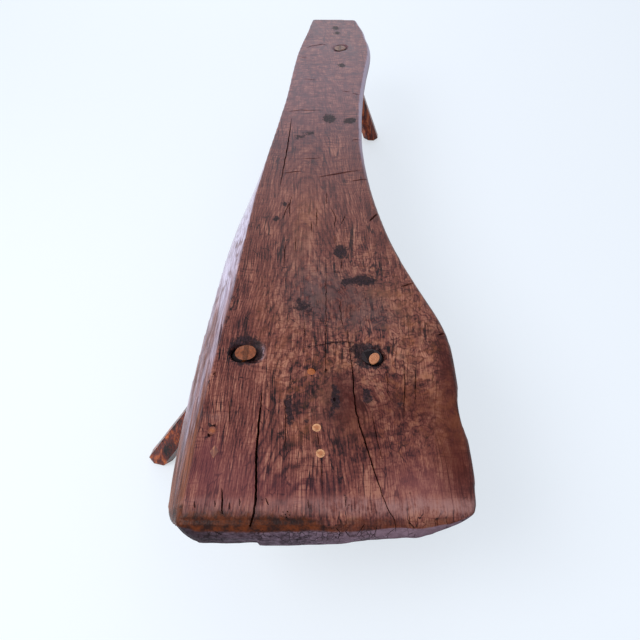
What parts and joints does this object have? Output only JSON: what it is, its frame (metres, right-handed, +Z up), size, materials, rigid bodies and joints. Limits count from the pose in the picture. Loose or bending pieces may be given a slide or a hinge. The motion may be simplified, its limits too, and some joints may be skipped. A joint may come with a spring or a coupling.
{
  "type": "slab bench",
  "caption": "Low rustic bench: a thick tapering slab with waney edges on splayed, shaved legs wedged through the seat, with pegs, a let-in patch and drying splits.",
  "frame": {"origin": "on the floor, under the middle of the bench's bounding box", "axes": "+Z up, +Y along the seat from the wide end to the narrow end, +X across it to the side of the wide end's lobe"},
  "size_m": [0.7616, 1.836, 0.41],
  "materials": {
    "slab_wood": "old wax, worn to a satin sheen",
    "leg_wood": "dark polish, worn glossy on the arrises",
    "wedge_wood": "waxed end grain",
    "peg_wood": "waxed end grain"
  },
  "bodies": {
    "root": {"slab_seat": "slab_wood", "leg_wide_left": "leg_wood", "leg_wide_right": "leg_wood", "leg_narrow_end": "leg_wood", "wedge_wide_left": "wedge_wood", "wedge_wide_right": "wedge_wood", "wedge_narrow_end": "wedge_wood", "peg_middle_far": "peg_wood", "peg_middle_near": "peg_wood", "peg_broken": "peg_wood", "peg_left_far": "peg_wood", "patch_left_near": "peg_wood"}
  },
  "joints": []
}
